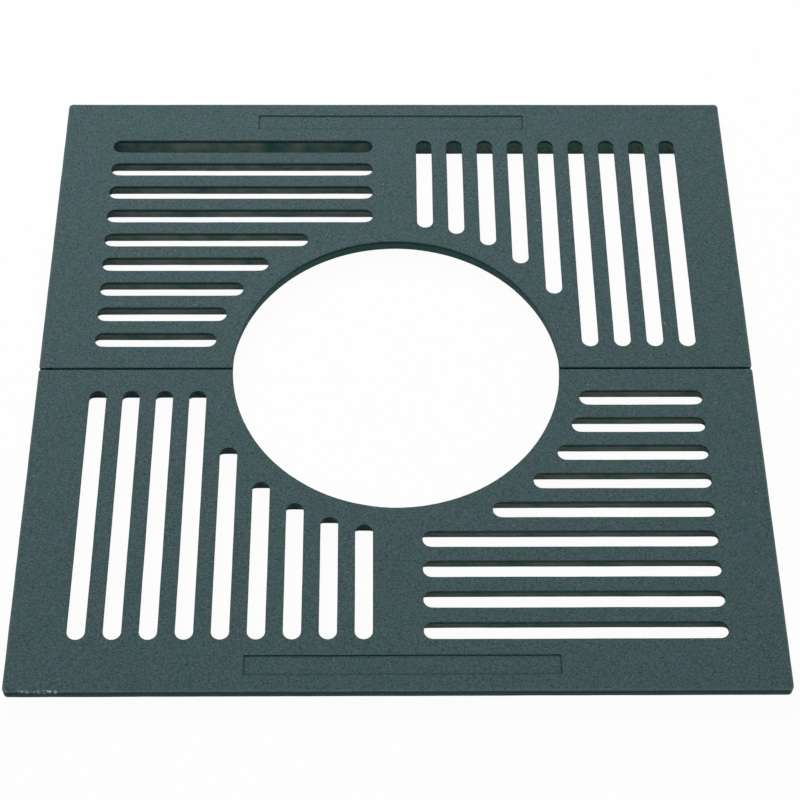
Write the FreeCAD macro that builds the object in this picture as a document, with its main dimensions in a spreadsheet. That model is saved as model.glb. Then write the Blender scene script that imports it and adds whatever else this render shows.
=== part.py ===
"""Square cast iron tree grate in two like halves, bolted together under the seam.

The grate lies flat. X runs along the seam, Y across it and Z up. The origin is the middle
of the trunk hole, on the plane that the border ribs stand on. The top is one rib depth higher.
Both halves come from one pattern: the front half is the rear half given half a turn.
All lengths are millimetres, and angles are degrees.
"""
import FreeCAD, Part
import math
import os
import Sketcher

SIZES = [
    ("plate_side", 1000, "side of the whole square grate"),
    ("hole_diameter", 456, "trunk hole at the top face"),
    ("seam_gap", 2.4, "gap between the two halves along the seam"),
    ("plate_depth", 22, "depth of the bars and of the collar"),
    ("rim_depth", 14, "depth of the outer rim"),
    ("rib_depth", 32, "from the top face down to the feet of the border rib"),
    ("outer_corner", 7, "radius of the corners of the grate"),
    ("seam_corner", 4, "radius of the corners of a half at the seam"),
    ("edge_ease", 1, "bevel of the top edges"),
    ("wall_draft", 10, "draft of the slots and of the trunk hole"),
    ("edge_draft", 2, "draft of the outer edge, the rib and the hollows"),
    ("slot_count", 9, "slots in each quarter"),
    ("slot_width", 23, "width of a slot at the top face"),
    ("seam_land", 38.5, "solid land between the middle of the seam and the slots"),
    ("middle_land", 33, "solid land between the line across the seam and the slots"),
    ("border_land", 75, "solid land between the slots and the outer edge"),
    ("collar_width", 42.5, "from the trunk hole to the end centres of the short slots"),
    ("ledge_land", 55, "from the outer edge to the rib, the land that a frame carries"),
    ("side_rib_width", 12, "thickness of the rib along the two sides"),
    ("skin_depth", 8, "thickness of the border over its hollows"),
    ("rim_width", 10, "wall between a hollow and the outer edge"),
    ("web_width", 11, "wall between two hollows"),
    ("hollow_corner", 6, "corner radius of a hollow"),
    ("hollow_count", 4, "hollows along the long border of one half"),
    ("panel_length", 405, "sunk panel in the long border"),
    ("panel_width", 28.5, "sunk panel, across the border"),
    ("panel_sink", 1.5, "how far the panel is sunk"),
    ("panel_shift", 5, "from the middle of the border to the middle of the panel"),
    ("panel_margin", 23.5, "from the outer edge to the panel"),
    ("panel_draft", 20, "slope of the edges of the panel"),
    ("bolt_inset", 154, "from the side of the grate in to each bolt"),
    ("bolt_height", 12.5, "from the foot plane up to the bolt axis"),
    ("bolt_diameter", 10, "shank of a hexagon bolt"),
    ("bolt_length", 35, "shank under the head"),
    ("bolt_chamfer", 1, "chamfer at the end of the shank"),
    ("head_height", 6.4, "bolt head"),
    ("hex_flats", 16, "across the flats of a head or nut"),
    ("hex_bevel", 30, "bevel of the corners of a head or nut"),
    ("nut_height", 8.4, "hexagon nut"),
    ("nut_clearance", 0.1, "bore of a nut over the shank"),
    ("washer_diameter", 20, "plain washer"),
    ("washer_thickness", 2, "plain washer"),
    ("washer_clearance", 0.5, "bore of a washer over the shank"),
    ("ear_width", 40, "cast ear that a bolt clamps"),
    ("ear_thickness", 10, "from the middle of the seam to the face under a washer"),
    ("ear_foot", 2, "from the foot plane up to the ear"),
    ("ear_cover", 5, "from the top face down to the raised seam face of an ear"),
    ("face_clearance", 0.1, "at the seam faces of the ears and under the washers"),
    ("notch_clearance", 1, "notch over the shank of a bolt"),
    ("pocket_clearance", 2, "round a washer inside its pocket"),
]

TOP = "Sizes.rib_depth"
RIM_BOTTOM = "(Sizes.rib_depth - Sizes.rim_depth)"
HALF_SIDE = "(Sizes.plate_side / 2)"
HALF_GAP = "(Sizes.seam_gap / 2)"
SLOT_RADIUS = "(Sizes.slot_width / 2)"
SLOT_OUTER = "(Sizes.plate_side / 2 - Sizes.border_land)"
SLOT_RING = "(Sizes.hole_diameter / 2 + Sizes.collar_width)"
RIB_OUTER = "(Sizes.plate_side / 2 - Sizes.ledge_land)"
RIB_INNER = "(Sizes.plate_side / 2 - Sizes.ledge_land - Sizes.side_rib_width)"
RIB_MIDDLE = "(Sizes.plate_side / 2 - Sizes.ledge_land - Sizes.side_rib_width / 2)"
BOLT_REACH = "(Sizes.plate_side / 2 - Sizes.bolt_inset)"
WASHER_FACE = "(Sizes.ear_thickness + Sizes.face_clearance)"
HEAD_FACE = "(Sizes.ear_thickness + Sizes.face_clearance + Sizes.washer_thickness)"
POCKET_REACH = "(Sizes.washer_diameter / 2 + Sizes.pocket_clearance)"
NOTCH_WIDTH = "(Sizes.bolt_diameter + Sizes.notch_clearance)"

doc = FreeCAD.newDocument("TreeGrate")


def make_sheet():
    """The spreadsheet that holds every driving size under its own name."""
    sheet = doc.addObject("Spreadsheet::Sheet", "Sizes")
    for row, (alias, number, meaning) in enumerate(SIZES, start=1):
        sheet.set("A%d" % row, meaning)
        sheet.set("B%d" % row, str(number))
        sheet.setAlias("B%d" % row, alias)
    doc.recompute()
    return sheet


sheet = make_sheet()


def worked_out(formula):
    """The number that a formula stands for."""
    return float(sheet.evalExpression(formula))


def bind(item, formulas):
    """Tie properties of an object to formulas in the names of the sheet."""
    for name, formula in formulas.items():
        item.setExpression(name, formula)


def origin_item(body, role):
    """One of the origin planes or axes of a body."""
    return [item for item in body.Origin.OriginFeatures if item.Role == role][0]


def new_sketch(body, name, level="0", plane="XY_Plane", turn=0):
    """A sketch on one of the origin planes of its body, lifted to a level and turned."""
    sketch = body.newObject("Sketcher::SketchObject", name)
    sketch.AttachmentSupport = [(origin_item(body, plane), "")]
    sketch.MapMode = "FlatFace"
    sketch.AttachmentOffset.Rotation = FreeCAD.Rotation(FreeCAD.Vector(0, 0, 1), turn)
    bind(sketch, {"AttachmentOffset.Base.z": level})
    return sketch


def fix(sketch, kind, place, formula):
    """Set one dimension of a sketch and tie it to a formula."""
    dimension = Sketcher.Constraint(kind, *place, worked_out(formula))
    index = sketch.addConstraint(dimension)
    bind(sketch, {"Constraints[%d]" % index: formula})


def join(sketch, kind, *place):
    """Join two ends of a sketch's lines and arcs."""
    sketch.addConstraint(Sketcher.Constraint(kind, *place))


def draw_loop(sketch, corners):
    """A closed outline of level and upright sides, counterclockwise.

    Each corner is an x formula, a y formula and a radius formula, or None for a sharp one.
    """
    count = len(corners)
    points = [FreeCAD.Vector(worked_out(x), worked_out(y), 0) for x, y, radius in corners]
    radii = [worked_out(radius) if radius else 0 for x, y, radius in corners]
    along = [(points[(i + 1) % count] - points[i]).normalize() for i in range(count)]
    first = sketch.GeometryCount
    for i in range(count):
        start = points[i] + along[i] * radii[i]
        end = points[(i + 1) % count] - along[i] * radii[(i + 1) % count]
        sketch.addGeometry(Part.LineSegment(start, end), False)
        if abs(along[i].x) > abs(along[i].y):
            join(sketch, "Horizontal", first + i)
            fix(sketch, "DistanceY", (-1, 1, first + i, 1), corners[i][1])
        else:
            join(sketch, "Vertical", first + i)
            fix(sketch, "DistanceX", (-1, 1, first + i, 1), corners[i][0])
    for i in range(count):
        before = (i - 1) % count
        if not radii[i]:
            join(sketch, "Coincident", first + before, 2, first + i, 1)
            continue
        centre = points[i] + (along[i] - along[before]) * radii[i]
        start = points[i] - along[before] * radii[i]
        middle = centre + (points[i] - centre).normalize() * radii[i]
        end = points[i] + along[i] * radii[i]
        arc = sketch.addGeometry(Part.Arc(start, middle, end), False)
        join(sketch, "Tangent", first + before, 2, arc, 1)
        join(sketch, "Tangent", arc, 2, first + i, 1)
        fix(sketch, "Radius", (arc,), corners[i][2])


def draw_box(sketch, left, right, near, far, radius=None):
    """A rectangle with four like corners, from formulas for its sides."""
    corners = [(left, near), (right, near), (right, far), (left, far)]
    draw_loop(sketch, [(x, y, radius) for x, y in corners])


def draw_slot(sketch, left, right, row):
    """A round-ended slot along X, from formulas for its end centres and its row."""
    radius = worked_out(SLOT_RADIUS)
    centres = [FreeCAD.Vector(worked_out(x), worked_out(row), 0) for x in (left, right)]
    circles = [Part.Circle(centre, FreeCAD.Vector(0, 0, 1), radius) for centre in centres]
    half_width = FreeCAD.Vector(0, radius, 0)
    quarter = math.pi / 2
    near_side = Part.LineSegment(centres[0] - half_width, centres[1] - half_width)
    far_side = Part.LineSegment(centres[1] + half_width, centres[0] + half_width)
    left_end = sketch.addGeometry(Part.ArcOfCircle(circles[0], quarter, 3 * quarter), False)
    right_end = sketch.addGeometry(Part.ArcOfCircle(circles[1], -quarter, quarter), False)
    near = sketch.addGeometry(near_side, False)
    far = sketch.addGeometry(far_side, False)
    join(sketch, "Tangent", left_end, 2, near, 1)
    join(sketch, "Tangent", near, 2, right_end, 1)
    join(sketch, "Tangent", right_end, 2, far, 1)
    join(sketch, "Tangent", far, 2, left_end, 1)
    join(sketch, "Equal", left_end, right_end)
    fix(sketch, "Radius", (left_end,), SLOT_RADIUS)
    fix(sketch, "DistanceX", (-1, 1, left_end, 3), left)
    fix(sketch, "DistanceX", (-1, 1, right_end, 3), right)
    fix(sketch, "DistanceY", (-1, 1, left_end, 3), row)


def draw_circle(sketch, diameter, across="0", up="0"):
    """A full circle, from formulas for its diameter and its centre."""
    centre = FreeCAD.Vector(worked_out(across), worked_out(up), 0)
    outline = Part.Circle(centre, FreeCAD.Vector(0, 0, 1), worked_out(diameter) / 2)
    circle = sketch.addGeometry(outline, False)
    fix(sketch, "Diameter", (circle,), diameter)
    fix(sketch, "DistanceX", (-1, 1, circle, 3), across)
    fix(sketch, "DistanceY", (-1, 1, circle, 3), up)


def extrude(body, kind, sketch, name, depth, draft="0", reverse=False):
    """A pad or a pocket of a sketch, which has to add or take away material."""
    before = body.Shape.Volume if body.Tip else 0
    feature = body.newObject("PartDesign::" + kind, name)
    feature.Profile = sketch
    feature.Reversed = reverse
    bind(feature, {"Length": depth, "TaperAngle": draft})
    doc.recompute()
    change = feature.Shape.Volume - before
    if (change > 0) != (kind == "Pad"):
        raise RuntimeError("%s points the wrong way" % name)
    return feature


def repeat(body, kind, name, features, settings):
    """A pattern or a mirror of features, as the new tip of the body."""
    pattern = body.newObject("PartDesign::" + kind, name)
    pattern.Originals = features
    for setting, value in settings.items():
        setattr(pattern, setting, value)
    body.Tip = pattern
    doc.recompute()


def add_plate(body):
    """The flat plate of one half, deeper inside its border rib than at the outer rim."""
    sketch = new_sketch(body, "border_outline", TOP)
    draw_loop(sketch, [
        ("-" + HALF_SIDE, HALF_GAP, "Sizes.seam_corner"),
        (HALF_SIDE, HALF_GAP, "Sizes.seam_corner"),
        (HALF_SIDE, HALF_SIDE, "Sizes.outer_corner"),
        ("-" + HALF_SIDE, HALF_SIDE, "Sizes.outer_corner"),
    ])
    extrude(body, "Pad", sketch, "border", "Sizes.rim_depth", "-Sizes.edge_draft", True)
    sketch = new_sketch(body, "grille_outline", TOP)
    draw_box(sketch, "-" + RIB_MIDDLE, RIB_MIDDLE, HALF_GAP, RIB_MIDDLE)
    extrude(body, "Pad", sketch, "grille", "Sizes.plate_depth", "-Sizes.edge_draft", True)


def cut_trunk_hole(body):
    """Half of the round hole for the trunk. It widens downwards."""
    sketch = new_sketch(body, "hole_outline", TOP)
    draw_circle(sketch, "Sizes.hole_diameter")
    extrude(body, "Pocket", sketch, "trunk_hole", TOP, "Sizes.wall_draft")


def cut_slots(body, name, side_land, end_land, turn):
    """The slots of one quarter, side by side between the land of a middle line and the border.

    A slot beside the trunk hole ends on a ring round the hole. The others run on to the
    land at their ends. The slots widen downwards, so the bars between them taper.
    """
    outer = "-(%s - %s)" % (SLOT_OUTER, SLOT_RADIUS)
    inner = "(%s + %s)" % (end_land, SLOT_RADIUS)
    nearest = "(%s + %s)" % (side_land, SLOT_RADIUS)
    farthest = "(%s - %s)" % (SLOT_OUTER, SLOT_RADIUS)
    pitch = "((%s - %s) / (Sizes.slot_count - 1))" % (farthest, nearest)
    sketch = new_sketch(body, name + "_outlines", TOP, turn=turn)
    for number in range(int(worked_out("Sizes.slot_count"))):
        row = "(%s + %d * %s)" % (nearest, number, pitch)
        on_ring = "sqrt(max(0; pow(%s; 2) - pow(%s; 2)))" % (SLOT_RING, row)
        draw_slot(sketch, outer, "-max(%s; %s)" % (inner, on_ring), row)
    extrude(body, "Pocket", sketch, name, TOP, "Sizes.wall_draft")


def add_border_rib(body):
    """The deep rib inside the border, flush with the slot ends along the long border."""
    root = "(Sizes.rib_depth - 2 * Sizes.edge_ease)"
    flush = "(%s + Sizes.edge_ease / 2)" % SLOT_OUTER
    sketch = new_sketch(body, "rib_outline", root)
    draw_loop(sketch, [
        ("-" + RIB_OUTER, HALF_GAP, None),
        ("-" + RIB_INNER, HALF_GAP, None),
        ("-" + RIB_INNER, flush, None),
        (RIB_INNER, flush, None),
        (RIB_INNER, HALF_GAP, None),
        (RIB_OUTER, HALF_GAP, None),
        (RIB_OUTER, RIB_OUTER, "Sizes.outer_corner"),
        ("-" + RIB_OUTER, RIB_OUTER, "Sizes.outer_corner"),
    ])
    extrude(body, "Pad", sketch, "border_rib", root, "-Sizes.edge_draft", True)


def cut_border_hollows(body):
    """Hollows under the border, between the rib and the outer rim, with webs between."""
    sketch = new_sketch(body, "hollow_outlines", RIM_BOTTOM)
    rim = "(%s - Sizes.rim_width)" % HALF_SIDE
    near = "(%s + Sizes.web_width)" % HALF_GAP
    far = "(%s - Sizes.web_width)" % RIB_OUTER
    radius = "Sizes.hollow_corner"
    draw_box(sketch, "-" + rim, "-" + RIB_MIDDLE, near, far, radius)
    draw_box(sketch, RIB_MIDDLE, rim, near, far, radius)
    step = "((2 * %s + Sizes.web_width) / Sizes.hollow_count)" % RIB_OUTER
    for number in range(int(worked_out("Sizes.hollow_count"))):
        left = "(%d * %s - %s)" % (number, step, RIB_OUTER)
        right = "(%s + %s - Sizes.web_width)" % (left, step)
        draw_box(sketch, left, right, RIB_MIDDLE, rim, radius)
    depth = "Sizes.rim_depth - Sizes.skin_depth"
    extrude(body, "Pocket", sketch, "border_hollows", depth, "-Sizes.edge_draft", True)


def add_bolt_ears(body):
    """Two ears at the seam, each with a pocket for a bolt end and a notch for its shank.

    Pocket and notch are open downwards: they leave the mould freely, and the half can be
    lifted straight off its bolts.
    """
    left = "(%s - Sizes.ear_width / 2)" % BOLT_REACH
    right = "(%s + Sizes.ear_width / 2)" % BOLT_REACH
    sketch = new_sketch(body, "ear_outline", TOP + " - Sizes.ear_cover")
    draw_box(sketch, left, right, "Sizes.face_clearance", "Sizes.ear_thickness")
    depth = "Sizes.rib_depth - Sizes.ear_cover - Sizes.ear_foot"
    ear = extrude(body, "Pad", sketch, "ear", depth, "0", True)
    other_side = {"MirrorPlane": (origin_item(body, "YZ_Plane"), [""])}
    repeat(body, "Mirrored", "ear_on_other_side", [ear], other_side)

    left = "(%s - %s)" % (BOLT_REACH, POCKET_REACH)
    right = "(%s + %s)" % (BOLT_REACH, POCKET_REACH)
    far = "(Sizes.bolt_length - %s + Sizes.pocket_clearance)" % HEAD_FACE
    sketch = new_sketch(body, "pocket_outline")
    draw_box(sketch, left, right, "Sizes.ear_thickness", far)
    depth = "Sizes.bolt_height + %s" % POCKET_REACH
    pocket = extrude(body, "Pocket", sketch, "bolt_pocket", depth, "0", True)

    left = "(%s - %s / 2)" % (BOLT_REACH, NOTCH_WIDTH)
    right = "(%s + %s / 2)" % (BOLT_REACH, NOTCH_WIDTH)
    sketch = new_sketch(body, "notch_outline")
    draw_box(sketch, left, right, "0", "Sizes.ear_thickness")
    notch = extrude(body, "Pocket", sketch, "notch", "Sizes.bolt_height", "0", True)
    sketch = new_sketch(body, "notch_end_outline", "0", "XZ_Plane")
    draw_circle(sketch, NOTCH_WIDTH, BOLT_REACH, "Sizes.bolt_height")
    end = extrude(body, "Pocket", sketch, "notch_end", "Sizes.ear_thickness")
    repeat(body, "Mirrored", "notch_on_other_side", [pocket, notch, end], other_side)


def ease_top_edges(body):
    """A small bevel on every edge of the top face, where a casting is rounded."""
    top = worked_out(TOP)
    names = []
    for number, edge in enumerate(body.Shape.Edges, start=1):
        if all(abs(vertex.Z - top) < 0.001 for vertex in edge.Vertexes):
            names.append("Edge%d" % number)
    tip = body.Tip
    bevel = body.newObject("PartDesign::Chamfer", "eased_top_edges")
    bevel.Base = (tip, names)
    bind(bevel, {"Size": "Sizes.edge_ease"})
    doc.recompute()


def sink_panel(body):
    """The bare sunk panel in the long border."""
    sketch = new_sketch(body, "panel_outline", TOP)
    left = "(-Sizes.panel_shift - Sizes.panel_length / 2)"
    right = "(-Sizes.panel_shift + Sizes.panel_length / 2)"
    near = "(%s - Sizes.panel_margin - Sizes.panel_width)" % HALF_SIDE
    far = "(%s - Sizes.panel_margin)" % HALF_SIDE
    draw_box(sketch, left, right, near, far, "Sizes.edge_ease")
    extrude(body, "Pocket", sketch, "sunk_panel", "Sizes.panel_sink", "-Sizes.panel_draft")


def make_rear_half(label):
    """The cast rear half of the grate."""
    body = doc.addObject("PartDesign::Body", label)
    body.Label = label
    add_plate(body)
    cut_trunk_hole(body)
    cut_border_hollows(body)
    add_bolt_ears(body)
    cut_slots(body, "slots_along_seam", "Sizes.seam_land", "Sizes.middle_land", 0)
    cut_slots(body, "slots_across_seam", "Sizes.middle_land", "Sizes.seam_land", -90)
    add_border_rib(body)
    ease_top_edges(body)
    sink_panel(body)
    return body


def make_front_half(label, rear_half):
    """A second casting from the same pattern, given half a turn."""
    body = doc.addObject("PartDesign::Body", label)
    body.Label = label
    body.BaseFeature = rear_half
    body.Placement.Rotation = FreeCAD.Rotation(FreeCAD.Vector(0, 0, 1), 180)
    doc.recompute()
    return body


def make_solid(kind, label, formulas):
    """A Part primitive with its sizes tied to formulas."""
    solid = doc.addObject("Part::" + kind, label)
    solid.Label = label
    bind(solid, formulas)
    return solid


def combine(kind, label, solids):
    """A fuse or a common of several solids."""
    result = doc.addObject("Part::" + kind, label)
    result.Label = label
    result.Shapes = solids
    return result


def make_hexagon(label, bottom, height, top_bevel):
    """A hexagonal prism whose corners are bevelled at the bottom, and at the top as well."""
    prism_sizes = {"Circumradius": "Sizes.hex_flats / sqrt(3)", "Height": height}
    prism_sizes["Placement.Base.z"] = bottom
    prism = make_solid("Prism", label + "_prism", prism_sizes)
    prism.Polygon = 6
    narrow = "Sizes.hex_flats / 2"
    wide = "%s + (%s) / tan(Sizes.hex_bevel)" % (narrow, height)
    cone_sizes = {"Radius1": narrow, "Radius2": wide, "Height": height}
    cone_sizes["Placement.Base.z"] = bottom
    solids = [prism, make_solid("Cone", label + "_lower_bevel", cone_sizes)]
    if top_bevel:
        cone_sizes = dict(cone_sizes, Radius1=wide, Radius2=narrow)
        solids.append(make_solid("Cone", label + "_upper_bevel", cone_sizes))
    return combine("MultiCommon", label + "_hexagon", solids)


def lay_on_bolt_line(item, side, along):
    """Turn the own Z axis of a fastener to +Y and seat it on the bolt line of one side."""
    item.Placement.Rotation = FreeCAD.Rotation(FreeCAD.Vector(1, 0, 0), -90)
    bind(item, {
        "Placement.Base.x": "%d * %s" % (side, BOLT_REACH),
        "Placement.Base.y": along,
        "Placement.Base.z": "Sizes.bolt_height",
    })
    return item


def make_bolt(label, side):
    """A hexagon bolt, from the front. Its own origin is under the head."""
    head = make_hexagon(label + "_head", "-Sizes.head_height", "Sizes.head_height", False)
    radius = "Sizes.bolt_diameter / 2"
    straight = "Sizes.bolt_length - Sizes.bolt_chamfer"
    shank = make_solid("Cylinder", label + "_shank", {"Radius": radius, "Height": straight})
    end = make_solid("Cone", label + "_end", {
        "Radius1": radius,
        "Radius2": radius + " - Sizes.bolt_chamfer",
        "Height": "Sizes.bolt_chamfer",
        "Placement.Base.z": straight,
    })
    bolt = combine("MultiFuse", label, [head, shank, end])
    return lay_on_bolt_line(bolt, side, "-" + HEAD_FACE)


def make_ring(label, blank, bore, height):
    """A blank with a round bore through it."""
    tool = make_solid("Cylinder", label + "_bore", {"Radius": bore, "Height": height})
    ring = doc.addObject("Part::Cut", label)
    ring.Label = label
    ring.Base = blank
    ring.Tool = tool
    return ring


def make_washer(label, side, along):
    """A plain washer, from the face nearer to the front."""
    height = "Sizes.washer_thickness"
    disc_sizes = {"Radius": "Sizes.washer_diameter / 2", "Height": height}
    disc = make_solid("Cylinder", label + "_disc", disc_sizes)
    bore = "(Sizes.bolt_diameter + Sizes.washer_clearance) / 2"
    return lay_on_bolt_line(make_ring(label, disc, bore, height), side, along)


def make_nut(label, side):
    """A hexagon nut against the rear washer."""
    height = "Sizes.nut_height"
    blank = make_hexagon(label, "0", height, True)
    bore = "(Sizes.bolt_diameter + Sizes.nut_clearance) / 2"
    return lay_on_bolt_line(make_ring(label, blank, bore, height), side, HEAD_FACE)


rear_half = make_rear_half("rear_half")
pieces = [rear_half, make_front_half("front_half", rear_half)]
for name, side in (("left", -1), ("right", 1)):
    pieces.append(make_bolt(name + "_bolt", side))
    pieces.append(make_washer(name + "_head_washer", side, "-" + HEAD_FACE))
    pieces.append(make_washer(name + "_nut_washer", side, WASHER_FACE))
    pieces.append(make_nut(name + "_nut", side))
doc.recompute()

for item in doc.Objects:
    if "Invalid" in item.State or "Error" in item.State:
        raise RuntimeError("%s failed: %s" % (item.Label, item.State))
for piece in pieces:
    if piece.Shape.isNull() or not piece.Shape.isValid():
        raise RuntimeError("%s has no valid shape" % piece.Label)

os.makedirs("parts", exist_ok=True)
for piece in pieces:
    piece.Shape.exportStep("parts/%s.step" % piece.Label)
    print("%s: %d solid, %.1f cubic cm" % (
        piece.Label, len(piece.Shape.Solids), piece.Shape.Volume / 1000))
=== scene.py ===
"""Square cast iron tree grate: two painted sand castings, bolted together under their seam."""
import math
import bmesh
import bpy
import numpy as np
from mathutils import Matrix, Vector, geometry, kdtree, noise


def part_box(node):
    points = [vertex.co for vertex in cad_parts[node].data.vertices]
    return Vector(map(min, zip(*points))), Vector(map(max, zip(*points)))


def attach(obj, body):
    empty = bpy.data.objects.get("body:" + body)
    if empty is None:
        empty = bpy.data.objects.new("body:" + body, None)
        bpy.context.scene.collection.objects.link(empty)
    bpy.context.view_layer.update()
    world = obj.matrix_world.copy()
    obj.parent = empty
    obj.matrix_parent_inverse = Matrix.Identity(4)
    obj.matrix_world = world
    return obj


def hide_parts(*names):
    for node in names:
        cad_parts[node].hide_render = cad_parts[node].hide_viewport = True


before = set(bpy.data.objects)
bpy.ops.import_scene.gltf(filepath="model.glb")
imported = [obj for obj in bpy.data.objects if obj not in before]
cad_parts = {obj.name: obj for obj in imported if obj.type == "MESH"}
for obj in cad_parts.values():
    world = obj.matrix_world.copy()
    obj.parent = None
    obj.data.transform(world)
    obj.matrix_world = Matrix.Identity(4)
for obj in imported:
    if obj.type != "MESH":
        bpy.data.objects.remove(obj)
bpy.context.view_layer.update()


# Front and rear half. Both are grey iron castings from one pattern, rammed in sand, fettled
# along their edges and dipped in matt green-grey paint. The sand leaves eased edges, walls
# that wave a little and a fine grain, and both halves simply lie in their frame.
MESH_STEP = 0.008
ROW_STEP = MESH_STEP * math.sqrt(0.75)
RIM_ROOM = 0.6 * MESH_STEP
CREASE = math.radians(0.2)
EDGE_EASE = 0.001
EDGE_SLOPE = (0.5, 0.9)
HOLE_REACH = 0.24
SLIVER = 2e-6


def is_crease(edge):
    """True where two faces of the casting meet at an angle."""
    return edge.calc_face_angle(math.pi) > CREASE


def round_top_edges(bm):
    """Turn the straight bevel of the top edges into a round one, with one more row of faces."""
    top = max(vert.co.z for vert in bm.verts)
    bevel = set()
    for face in bm.faces:
        is_sloped = EDGE_SLOPE[0] < face.normal.z < EDGE_SLOPE[1]
        if is_sloped and max(vert.co.z for vert in face.verts) > top - SLIVER:
            bevel.add(face)
    across = [edge for edge in bm.edges if all(face in bevel for face in edge.link_faces)]
    made = bmesh.ops.subdivide_edges(bm, edges=across, cuts=1, use_grid_fill=True)
    middle = [item for item in made["geom_inner"] if isinstance(item, bmesh.types.BMVert)]
    bm.normal_update()
    bulge = EDGE_EASE * (1 - math.sqrt(0.5))
    for vert, out in [(vert, vert.normal.copy()) for vert in middle]:
        vert.co += out * bulge


def divide_creases(bm, places):
    """Cut every crease into short steps, and keep those round the trunk hole on its circle."""
    chains = {}
    for edge in bm.edges:
        if not is_crease(edge):
            continue
        first, last = edge.verts
        count = max(1, math.ceil(edge.calc_length() / MESH_STEP - 0.01))
        radius = first.co.xy.length
        is_round = radius < HOLE_REACH and abs(last.co.xy.length - radius) < SLIVER
        chain = [first.index]
        for part in range(1, count):
            place = first.co.lerp(last.co, part / count)
            if is_round:
                place.xy = place.xy.normalized() * radius
            chain.append(len(places))
            places.append(place)
        chains[edge] = chain + [last.index]
    return chains


def flat_patches(bm):
    """The faces of the casting, grouped into whole flat surfaces."""
    taken = set()
    patches = []
    for first in bm.faces:
        if first in taken:
            continue
        taken.add(first)
        patch = [first]
        for face in patch:
            for edge in face.edges:
                if is_crease(edge):
                    continue
                for near in edge.link_faces:
                    if near not in taken:
                        taken.add(near)
                        patch.append(near)
        patches.append(patch)
    return patches


def are_inside(points, starts, ends):
    """True for each point that lies inside an outline, which may have holes."""
    x, y = points[:, 0, None], points[:, 1, None]
    rise = ends[None, :, 1] - starts[None, :, 1]
    spans = (starts[None, :, 1] > y) != (ends[None, :, 1] > y)
    rise = np.where(spans, rise, 1.0)
    meet = starts[None, :, 0] + (y - starts[None, :, 1]) * (ends - starts)[None, :, 0] / rise
    return (spans & (x < meet)).sum(axis=1) % 2 == 1


def points_within(outline, starts, ends):
    """A triangular grid of points inside an outline, clear of its edge."""
    low, high = outline.min(0), outline.max(0)
    if min(high - low) < MESH_STEP:
        return np.empty((0, 2))
    columns = np.arange(math.ceil((high - low)[0] / MESH_STEP) + 1)
    rows = np.arange(math.ceil((high - low)[1] / ROW_STEP) + 1)
    across, up = np.meshgrid(columns, rows)
    across = across + 0.5 * (up % 2)
    grid = np.column_stack([across.ravel() * MESH_STEP, up.ravel() * ROW_STEP])
    grid = (grid + low)[are_inside(grid + low, starts, ends)]
    tree = kdtree.KDTree(len(outline))
    for number, point in enumerate(outline):
        tree.insert((*point, 0), number)
    tree.balance()
    clear = [tree.find((*point, 0))[2] > RIM_ROOM for point in grid]
    return grid[clear] if len(grid) else grid


def mesh_patch(patch, chains, places):
    """Fill one flat surface of the casting with small, even triangles."""
    members = set(patch)
    rim = []
    for face in patch:
        for edge in face.edges:
            if edge in chains and sum(near in members for near in edge.link_faces) == 1:
                rim.extend(zip(chains[edge], chains[edge][1:]))
    normal = sum((face.normal * face.calc_area() for face in patch), Vector()).normalized()
    side = normal.orthogonal().normalized()
    up = normal.cross(side)
    corners = sorted({number for pair in rim for number in pair})
    base = places[corners[0]]
    spans = [places[number] - base for number in corners]
    outline = np.array([(span.dot(side), span.dot(up)) for span in spans])
    order = {number: place for place, number in enumerate(corners)}
    rim = [(order[first], order[last]) for first, last in rim]
    starts, ends = outline[[pair[0] for pair in rim]], outline[[pair[1] for pair in rim]]
    points = np.vstack([outline, points_within(outline, starts, ends)])
    made = geometry.delaunay_2d_cdt([Vector(point) for point in points], rim, [], 0, 1e-9, True)
    spots = np.array([tuple(point) for point in made[0]])
    triangles = np.array(made[2])
    numbers = []
    for spot, source in zip(spots, made[3]):
        if source and source[0] < len(corners):
            numbers.append(corners[source[0]])
        else:
            numbers.append(len(places))
            places.append(base + side * spot[0] + up * spot[1])
    triangles = triangles[are_inside(spots[triangles].mean(axis=1), starts, ends)]
    faces = []
    for triangle in triangles:
        a, b, c = spots[triangle]
        twice = (b[0] - a[0]) * (c[1] - a[1]) - (b[1] - a[1]) * (c[0] - a[0])
        longest = max(np.linalg.norm(b - a), np.linalg.norm(c - b), np.linalg.norm(a - c))
        if abs(twice) > longest * SLIVER:
            faces.append([numbers[n] for n in (triangle if twice > 0 else triangle[::-1])])
    return faces


def mesh_from_pattern(source):
    """The casting's surfaces as small, even triangles, so that they can wave as cast iron does."""
    bm = bmesh.new()
    bm.from_mesh(source)
    bmesh.ops.remove_doubles(bm, verts=bm.verts, dist=SLIVER / 2)
    bmesh.ops.dissolve_limit(bm, angle_limit=CREASE, verts=bm.verts, edges=bm.edges)
    round_top_edges(bm)
    bm.verts.index_update()
    places = [vert.co.copy() for vert in bm.verts]
    chains = divide_creases(bm, places)
    faces = []
    for patch in flat_patches(bm):
        faces += mesh_patch(patch, chains, places)
    bm.free()
    return places, faces


SLOT_LINES = 9
SLOT_RADIUS = 0.0115
SLOT_DRAFT = math.tan(math.radians(10))
SEAM_LINE = 0.0500
MIDDLE_LINE = 0.0445
BORDER_LINE = 0.4135
COLLAR_RING = 0.2705
TOP_FACE = 0.032
SKIN_FOOT = 0.0285
SKIN_BLEND = 0.0085
SQUARENESS = 5
LAND_REACH = 0.009


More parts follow.
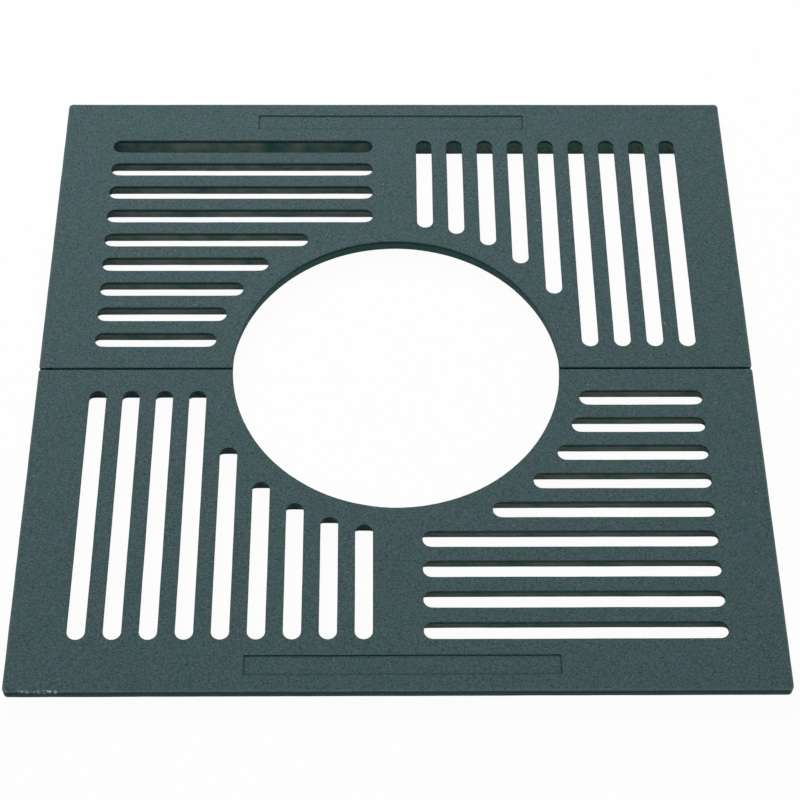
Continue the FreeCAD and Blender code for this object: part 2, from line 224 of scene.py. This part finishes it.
def slot_ends():
    """The middles of the round slot ends of the rear half, and the way that each points."""
    ends = []
    for number in range(SLOT_LINES):
        share = number / (SLOT_LINES - 1)
        y = SEAM_LINE + share * (BORDER_LINE - SEAM_LINE)
        collar_x = max(MIDDLE_LINE, math.sqrt(max(COLLAR_RING ** 2 - y * y, 0)))
        ends += [(-BORDER_LINE, y, -1, 0), (-collar_x, y, 1, 0)]
        x = MIDDLE_LINE + share * (BORDER_LINE - MIDDLE_LINE)
        collar_y = max(SEAM_LINE, math.sqrt(max(COLLAR_RING ** 2 - x * x, 0)))
        ends.append((x, collar_y, 0, -1))
    return ends


def ease(share):
    """0 at a share of 0 or less, 1 at 1 or more, with a soft step between."""
    share = np.clip(share, 0, 1)
    return share * share * (3 - 2 * share)


def square_slot_ends(places):
    """Fill out the slot ends towards their corners under the skin, as the pattern does."""
    points = np.array([tuple(place) for place in places])
    height = points[:, 2]
    wall = SLOT_RADIUS + (TOP_FACE - height) * SLOT_DRAFT
    under_skin = ease((SKIN_FOOT - height) / SKIN_BLEND)
    for x, y, out_x, out_y in slot_ends():
        offset = points[:, :2] - (x, y)
        radius = np.maximum(np.hypot(offset[:, 0], offset[:, 1]), SLIVER)
        along = np.maximum(offset @ (out_x, out_y), 0) / radius
        across = abs(offset @ (-out_y, out_x)) / radius
        corner = (along ** SQUARENESS + across ** SQUARENESS) ** (-1 / SQUARENESS) - 1
        near = ease(1 - (radius - wall) / LAND_REACH) * (along > 0)
        push = wall * corner * near * under_skin / radius
        points[:, :2] += offset * push[:, None]
    return [Vector(point) for point in points]


WALL_WAVE = 0.00035
FACE_WAVE = 0.00012
WAVES = ((0.060, 0.6), (0.022, 0.4))
WAVE_SEED = 1
WAVE_SHIFT = 40
BOLT_REACH = 0.346
SEAT_RADIUS = 0.030
EDGE_BAND = 0.002
CASTING_CORNER = math.radians(35)
FLAT_WEIGHT = 80


def wave(place, casting_number):
    """How far the sand mould has let this point of a casting wander."""
    shift = Vector()
    aside = Vector((0, 0, WAVE_SHIFT * casting_number))
    for length, share in WAVES:
        shift += noise.noise_vector(place / length + aside) * share
    seat = min((place - Vector((side * BOLT_REACH, 0, place.z))).length for side in (-1, 1))
    calm = min(max(seat / SEAT_RADIUS - 1, 0), 1)
    return Vector((shift.x * WALL_WAVE, shift.y * WALL_WAVE, shift.z * FACE_WAVE)) * calm


def put_in_scene(name, data):
    """A new object of this mesh, lamp or camera."""
    made = bpy.data.objects.new(name, data)
    bpy.context.scene.collection.objects.link(made)
    return made


def shade_smooth(mesh, corner):
    """Let a mesh shade round, except at edges sharper than this corner."""
    mesh.polygons.foreach_set("use_smooth", [True] * len(mesh.polygons))
    mesh.set_sharp_from_angle(angle=corner)


def cast_half(node, places, faces, casting_number):
    """One casting: the shared pattern with waves of its own, kept inside the size of the half."""
    low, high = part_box(node)
    reach = Vector((WALL_WAVE, WALL_WAVE, FACE_WAVE))
    points = []
    for place in places:
        point = place + wave(place, casting_number)
        for axis in range(3):
            from_low = max(0, 1 - (place[axis] - low[axis]) / EDGE_BAND)
            from_high = max(0, 1 - (high[axis] - place[axis]) / EDGE_BAND)
            point[axis] += reach[axis] * (from_low - from_high)
            point[axis] = min(max(point[axis], low[axis]), high[axis])
        points.append(point)
    mesh = bpy.data.meshes.new(node + "_casting")
    mesh.from_pydata(points, [], faces)
    shade_smooth(mesh, CASTING_CORNER)
    half = put_in_scene(node + "_casting", mesh)
    shade = half.modifiers.new("flat_faces", "WEIGHTED_NORMAL")
    shade.keep_sharp = True
    shade.weight = FLAT_WEIGHT
    return half


class Level:
    """One value in a material. Sums with it add the Math nodes that they need."""

    def __init__(self, finish, socket):
        self.finish = finish
        self.socket = socket

    def math(self, operation, first, second):
        return self.finish.node("Math", {"operation": operation}, {0: first, 1: second})

    def __add__(self, other):
        return self.math("ADD", self, other)

    def __sub__(self, other):
        return self.math("SUBTRACT", self, other)

    def __rsub__(self, other):
        return self.math("SUBTRACT", other, self)

    def __mul__(self, other):
        return self.math("MULTIPLY", self, other)

    __radd__ = __add__
    __rmul__ = __mul__


class Finish:
    """The nodes of one material, or of the room, which are made one at a time."""

    def __init__(self, owner):
        owner.use_nodes = True
        self.tree = owner.node_tree
        self.tree.nodes.clear()

    def node(self, kind, settings=None, inputs=None, output=0):
        """A node of this kind, with its settings, and values or links for its sockets."""
        made = self.tree.nodes.new("ShaderNode" + kind)
        for name, value in (settings or {}).items():
            setattr(made, name, value)
        for name, value in (inputs or {}).items():
            if isinstance(value, Level):
                self.tree.links.new(value.socket, made.inputs[name])
            else:
                made.inputs[name].default_value = value
        return Level(self, made.outputs[output]) if made.outputs else None

    def grain(self, where, size, detail=2.0, roughness=0.5):
        """Uneven cloudy values from 0 to 1, with spots of about this size in metres."""
        sockets = {"Vector": where, "Scale": 1 / size, "Detail": detail, "Roughness": roughness}
        return self.node("TexNoise", None, sockets)

    def between(self, level, low, high):
        """0 where a level is under low and 1 where it is over high, with a soft step between."""
        sockets = {"Value": level, "From Min": low, "From Max": high}
        return self.node("MapRange", {"interpolation_type": "SMOOTHSTEP"}, sockets)

    def blend(self, share, first, second):
        """One colour, turning into a second one by share."""
        return self.node("Mix", {"data_type": "RGBA"}, {0: share, 6: first, 7: second}, 2)


FACE_GREEN = (0.060, 0.108, 0.103, 1)
FACE_BLUE = (0.068, 0.106, 0.119, 1)
FACE_PIT = (0.021, 0.048, 0.048, 1)
FACE_GRAIN = (0.124, 0.184, 0.188, 1)
WALL_GREEN = (0.034, 0.138, 0.128, 1)
WALL_PIT = (0.018, 0.080, 0.073, 1)
SLOT_DUST = (0.260, 0.300, 0.275, 1)
# Painted light and painted shade on the slot end walls: paler in the rear right quarter, nearly
# black elsewhere.
PAINTED_LIGHT_END = (0.120, 0.215, 0.195, 1)
PAINTED_SHADE_END = (0.003, 0.036, 0.033, 1)
HOLE_WALL = (0.030, 0.083, 0.079, 1)
OUTER_WALL = (0.027, 0.095, 0.090, 1)
# Painted shadow on the walls just under the top edge.
UNDER_EDGE_SHADOW = (0.005, 0.036, 0.034, 1)
# Painted shade in corners and recesses.
CORNER_SHADE = (0.008, 0.028, 0.027, 1)
# Worn paint with a painted highlight along the outer rim.
RIM_WEAR_AND_HIGHLIGHT = (0.130, 0.190, 0.184, 1)
CHIP = (0.28, 0.34, 0.33, 1)
SCUFF = (0.40, 0.46, 0.44, 1)
CLOUD_SIZE = 0.04
MOTTLE_SIZE = 0.013
CHIP_SIZE = 0.005
SAND_SIZE = 0.0026
FINE_SIZE = 0.0013
SAND_RELIEF = 0.0008
# Reach of the painted corner shade, reach and height band of the rim wear with its painted
# highlight, and height band of the painted shadow under the top edge.
CORNER_SHADE_REACH = 0.005
RIM_WEAR_AND_HIGHLIGHT_REACH = 0.004
UNDER_EDGE_SHADOW_LINE = (0.0240, 0.0272)
RIM_WEAR_AND_HIGHLIGHT_LINE = (0.0270, 0.0312)
SCUFF_LINE = (0.0275, 0.0295)
SCUFF_LEFT = (-0.482, -0.470)
SCUFF_RIGHT = (-0.424, -0.432)
SCUFF_FRONT = (-0.4960, -0.4980)
# These three are squares of distances from the middle of the grate.
HOLE_ZONE = (0.066, 0.060)
OUTER_ZONE = (0.220, 0.235)
RIM_ZONE = (0.238, 0.246)


def paint_iron(iron):
    """Matt green-grey paint on sand-cast iron, dusty in its slots, worn along its outer rim with a
    painted highlight there, and with painted light and shade on its slot end walls, under its top
    edges and in its corners.
    """
    where = iron.node("TexCoord", output="Object")
    facing = iron.node("TexCoord", output="Normal")
    x, y, height = [iron.node("SeparateXYZ", None, {0: where}, axis) for axis in range(3)]
    across, along, up = [iron.node("SeparateXYZ", None, {0: facing}, axis) for axis in range(3)]
    outside = {"samples": 6, "only_local": True}
    inside = {"samples": 6, "only_local": True, "inside": True}
    open_air = iron.node("AmbientOcclusion", outside, {"Distance": CORNER_SHADE_REACH}, 1)
    solid = iron.node("AmbientOcclusion", inside, {"Distance": RIM_WEAR_AND_HIGHLIGHT_REACH}, 1)
    clouds = iron.grain(where, CLOUD_SIZE, 3, 0.6)
    mottle = iron.grain(where, MOTTLE_SIZE, 4, 0.62)
    sand = iron.grain(where, SAND_SIZE, 3, 0.7)
    fine = iron.grain(where, FINE_SIZE, 2, 0.6)
    chips = iron.grain(where, CHIP_SIZE, 2, 0.5)

    tint = iron.between(clouds * 0.5 + mottle * 0.5, 0.40, 0.60)
    face = iron.blend(tint, FACE_GREEN, FACE_BLUE)
    face = iron.blend(iron.between(sand, 0.49, 0.35) * 0.78, face, FACE_PIT)
    face = iron.blend(iron.between(sand, 0.53, 0.69) * 0.66, face, FACE_GRAIN)

    wall = iron.blend(iron.between(sand, 0.55, 0.35) * 0.5, WALL_GREEN, WALL_PIT)
    dust = iron.between(mottle * 0.3 + clouds * 0.7 - y * y * 0.35, 0.23, 0.62)
    wall = iron.blend(dust * 0.85, wall, SLOT_DUST)
    cross_slot = iron.between(x * y, -0.001, 0.001)
    # Painted light: the end walls of the rear right slots are made paler.
    lit_rear_end = cross_slot * (along * along) * iron.between(y, 0.05, 0.10)
    wall = iron.blend(iron.between(lit_rear_end, 0.05, 0.5) * 0.8, wall, PAINTED_LIGHT_END)
    hole = iron.between(x * x + y * y, *HOLE_ZONE)
    wall = iron.blend(hole, wall, HOLE_WALL)
    outer = iron.between(x * x, *OUTER_ZONE) + iron.between(y * y, *OUTER_ZONE)
    wall = iron.blend(outer, wall, OUTER_WALL)
    # Painted shade: the other slot end walls, away from the hole and the outer sides, are made
    # nearly black.
    shaded_end_wall = cross_slot * (along * along) * iron.between(y, 0.05, -0.05)
    shaded_end_wall = shaded_end_wall + (1 - cross_slot) * (across * across)
    shaded_end_wall = iron.between(shaded_end_wall, 0.05, 0.5) * (1 - hole - outer)
    wall = iron.blend(shaded_end_wall, wall, PAINTED_SHADE_END)
    # Painted shadow: the walls turn dark green just under the top edge.
    wall = iron.blend(iron.between(height, *UNDER_EDGE_SHADOW_LINE) * 0.9, wall, UNDER_EDGE_SHADOW)

    colour = iron.blend(iron.between(up, 0.15, 0.75), wall, face)
    # Painted shade: corners and recesses darken where ambient occlusion finds little open air.
    corners = iron.between(1 - open_air, 0.03, 0.24) * 0.75
    colour = iron.blend(corners, colour, CORNER_SHADE)
    # Worn paint and a painted highlight along the top edge of the outer rim.
    rim = iron.between(x * x, *RIM_ZONE) + iron.between(y * y, *RIM_ZONE)
    wear_and_highlight = iron.between(1 - solid + mottle * 0.6, 0.42, 0.66)
    wear_and_highlight = wear_and_highlight * iron.between(height, *RIM_WEAR_AND_HIGHLIGHT_LINE)
    colour = iron.blend(wear_and_highlight * rim * 0.6, colour, RIM_WEAR_AND_HIGHLIGHT)
    colour = iron.blend(iron.between(chips, 0.755, 0.785) * 0.8, colour, CHIP)
    scuffed = iron.between(x, *SCUFF_LEFT) * iron.between(x, *SCUFF_RIGHT)
    scuffed = scuffed * iron.between(y, *SCUFF_FRONT) * iron.between(height, *SCUFF_LINE)
    colour = iron.blend(iron.between(chips, 0.50, 0.58) * scuffed, colour, SCUFF)

    relief = sand * 0.7 + fine * 0.3
    sockets = {"Strength": 0.8, "Distance": SAND_RELIEF, "Height": relief}
    bump = iron.node("Bump", None, sockets)
    dull = 0.58 + iron.between(mottle, 0.3, 0.7) * 0.14
    sockets = {"Base Color": colour, "Roughness": dull, "Normal": bump, "Specular IOR Level": 0.05}
    iron.node("OutputMaterial", None, {"Surface": iron.node("BsdfPrincipled", None, sockets)})


iron_paint = bpy.data.materials.new("painted_cast_iron")
paint_iron(Finish(iron_paint))
pattern_places, pattern_faces = mesh_from_pattern(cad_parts["rear_half"].data)
pattern_places = square_slot_ends(pattern_places)
noise.seed_set(WAVE_SEED)
rear_casting = cast_half("rear_half", pattern_places, pattern_faces, 1)
turned_places = [Vector((-place.x, -place.y, place.z)) for place in pattern_places]
front_casting = cast_half("front_half", turned_places, pattern_faces, 2)
for casting, node, body in (
    (rear_casting, "rear_half", "rear_half"),
    (front_casting, "front_half", "front_half_with_bolts"),
):
    casting.data.materials.append(iron_paint)
    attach(casting, body)
    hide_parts(node)


# Hexagon bolts, plain washers and nuts. They are bought zinc-plated steel, pushed through
# the open notches of the two cast ears under the seam and drawn tight from behind.
SPOKES = 36
BOLT_HEIGHT = 0.0125
HEAD_FACE = -0.0121
HALF_FLATS = 0.008
HEAD_HEIGHT = 0.0064
CROWN = 0.0076
CROWN_SLOPE = math.tan(math.radians(30))
WASHER_FACE = 0.0004
SHANK = 0.005
SHANK_LENGTH = 0.035
SHANK_NECK = 0.0005
END_CHAMFER = 0.001
PITCH = 0.0015
THREAD_DEPTH = 0.0009
THREAD_ROWS = 6
THREAD_FLANKS = 0.88
NUT_SPAN = (0.0242, 0.0326)
NUT_SINK = 0.00045
NUT_PLAY = 0.00006
STEEL_CORNER = math.radians(25)
ZINC_GREY = (0.50, 0.51, 0.50, 1)
ZINC_STRAW = (0.56, 0.56, 0.53, 1)
ZINC_CLOUD_SIZE = 0.006
SCRATCH_SIZE = 0.0008
SCRATCH_RELIEF = 0.0001


def circle(along, radius):
    """A round ring of points at this distance from under the bolt head."""
    return [(along, radius)] * SPOKES


def hexagon(along, slope):
    """A six-sided ring, whose corners draw back as the cone of the crown cuts them."""
    ring = []
    for spoke in range(SPOKES):
        radius = HALF_FLATS / math.cos(math.radians(spoke * 360 / SPOKES % 60 - 30))
        ring.append((along + slope * (radius - CROWN), radius))
    return ring


def threads(low, high, play):
    """Rings whose groove climbs one pitch in a turn, from low to high along the shank."""
    rings = []
    for row in range(round((high - low) / PITCH * THREAD_ROWS) + 1):
        along = low + row * PITCH / THREAD_ROWS
        end = SHANK - END_CHAMFER + max(0, SHANK_LENGTH - along)
        ring = []
        for spoke in range(SPOKES):
            phase = (along / PITCH + spoke / SPOKES) % 1
            groove = THREAD_DEPTH * max(0, 1 - abs(2 * phase - 1) / THREAD_FLANKS)
            ring.append((along, min(SHANK - groove, end) + play))
        rings.append(ring)
    return rings


def turned_steel(name, side, rings, is_hollow):
    """A bolt or nut, skinned over rings of points round its bolt line."""
    bm = bmesh.new()
    loops = []
    for ring in rings:
        loop = []
        for spoke, (along, radius) in enumerate(ring):
            angle = 2 * math.pi * spoke / SPOKES
            x = side * BOLT_REACH + radius * math.cos(angle)
            z = BOLT_HEIGHT + radius * math.sin(angle)
            loop.append(bm.verts.new((x, HEAD_FACE + along, z)))
        loops.append(loop)
    pairs = list(zip(loops, loops[1:]))
    if is_hollow:
        pairs.append((loops[-1], loops[0]))
    else:
        bm.faces.new(loops[0])
        bm.faces.new(loops[-1])
    for first, last in pairs:
        for spoke in range(SPOKES):
            bm.faces.new((first[spoke - 1], first[spoke], last[spoke], last[spoke - 1]))
    bmesh.ops.recalc_face_normals(bm, faces=bm.faces)
    mesh = bpy.data.meshes.new(name)
    bm.to_mesh(mesh)
    bm.free()
    shade_smooth(mesh, STEEL_CORNER)
    return put_in_scene(name, mesh)


def plate_zinc(zinc):
    """Dull zinc plating with a faint cloudy passivation."""
    where = zinc.node("TexCoord", output="Object")
    clouds = zinc.grain(where, ZINC_CLOUD_SIZE, 3, 0.6)
    scratches = zinc.grain(where, SCRATCH_SIZE, 2, 0.5)
    colour = zinc.blend(zinc.between(clouds, 0.35, 0.65), ZINC_GREY, ZINC_STRAW)
    dull = 0.34 + zinc.between(clouds, 0.3, 0.7) * 0.12
    sockets = {"Strength": 0.25, "Distance": SCRATCH_RELIEF, "Height": scratches}
    bump = zinc.node("Bump", None, sockets)
    sockets = {"Base Color": colour, "Metallic": 1.0, "Roughness": dull, "Normal": bump}
    zinc.node("OutputMaterial", None, {"Surface": zinc.node("BsdfPrincipled", None, sockets)})


zinc = bpy.data.materials.new("zinc_plated_steel")
plate_zinc(Finish(zinc))
bolt_rings = [
    circle(-HEAD_HEIGHT, CROWN),
    hexagon(-HEAD_HEIGHT, CROWN_SLOPE),
    hexagon(-WASHER_FACE, 0),
    circle(-WASHER_FACE, CROWN),
    circle(0, CROWN),
    circle(0, SHANK),
]
bolt_rings += threads(SHANK_NECK, SHANK_LENGTH, 0)
nut_low, nut_high = NUT_SPAN
nut_rings = [
    circle(nut_low, CROWN),
    hexagon(nut_low, CROWN_SLOPE),
    hexagon(nut_high, -CROWN_SLOPE),
    circle(nut_high, CROWN),
    circle(nut_high, SHANK + NUT_SINK),
]
nut_rings += threads(nut_low + NUT_SINK, nut_high - NUT_SINK, NUT_PLAY)[::-1]
nut_rings.append(circle(nut_low, SHANK + NUT_SINK))
for side_name, side in (("left", -1), ("right", 1)):
    for part_name, rings, is_hollow in (("_bolt", bolt_rings, False), ("_nut", nut_rings, True)):
        node = side_name + part_name
        piece = turned_steel(node + "_turned", side, rings, is_hollow)
        piece.data.materials.append(zinc)
        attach(piece, "front_half_with_bolts")
        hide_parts(node)
    for node in (side_name + "_head_washer", side_name + "_nut_washer"):
        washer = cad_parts[node]
        washer.data.materials.clear()
        washer.data.materials.append(zinc)


# The studio: a pale floor under the grate, which shows white and keeps a faint shadow, one
# wide soft lamp behind it and a pale room all round, as plain as a catalogue picture.
FLOOR_HALF = 6.0
FLOOR_GREY = (0.8, 0.8, 0.8, 1)
SHADOW_SHARE = 0.04
ROOM_LIGHT = 0.41
LAMP_SIZE = 2.4
LAMP_POWER = 84
LAMP_PLACE = (-0.7, 2.0, 2.7)


def picture_rays(finish):
    """1 for what the camera sees, also in a mirror or through glass, and 0 for light."""
    names = ("Is Camera Ray", "Is Glossy Ray", "Is Transmission Ray")
    seen, mirrored, through = [finish.node("LightPath", output=name) for name in names]
    return seen + mirrored + through


floor_mesh = bpy.data.meshes.new("floor")
corner_signs = ((-1, -1), (1, -1), (1, 1), (-1, 1))
floor_corners = [(x * FLOOR_HALF, y * FLOOR_HALF, 0) for x, y in corner_signs]
floor_mesh.from_pydata(floor_corners, [], [(0, 1, 2, 3)])
floor = put_in_scene("floor", floor_mesh)

card = bpy.data.materials.new("pale_floor")
floor_mesh.materials.append(card)
card_nodes = Finish(card)
lit = card_nodes.node("BsdfDiffuse", None, {"Color": FLOOR_GREY})
white = card_nodes.node("Emission", None, {"Strength": 1.0})
share = picture_rays(card_nodes) * (1 - SHADOW_SHARE)
mixed = card_nodes.node("MixShader", None, {0: share, 1: lit, 2: white})
card_nodes.node("OutputMaterial", None, {"Surface": mixed})

room = bpy.data.worlds.new("room")
bpy.context.scene.world = room
room_nodes = Finish(room)
strength = picture_rays(room_nodes) * (1 - ROOM_LIGHT) + ROOM_LIGHT
air = room_nodes.node("Background", None, {"Color": (1, 1, 1, 1), "Strength": strength})
room_nodes.node("OutputWorld", None, {"Surface": air})

lamp_data = bpy.data.lights.new("soft_lamp", "AREA")
lamp_data.shape = "SQUARE"
lamp_data.size = LAMP_SIZE
lamp_data.energy = LAMP_POWER
lamp = put_in_scene("soft_lamp", lamp_data)
lamp.location = LAMP_PLACE
lamp.rotation_euler = (-lamp.location).to_track_quat("-Z", "Y").to_euler()


# The camera looks down on the front edge, a little from the left, as in the photograph. Its
# lens, place and turns come from a fit to the outline, the hole and the ends of the slots.
LENS = 89.897
CAMERA_PLACE = (-0.02824, -1.62416, 2.31191)
CAMERA_TURNS = (34.555, -0.515, -0.462)
camera_data = bpy.data.cameras.new("camera")
camera_data.lens = LENS
camera = put_in_scene("camera", camera_data)
camera.location = CAMERA_PLACE
camera.rotation_euler = [math.radians(angle) for angle in CAMERA_TURNS]
bpy.context.scene.camera = camera
bpy.context.scene.view_settings.view_transform = "Standard"
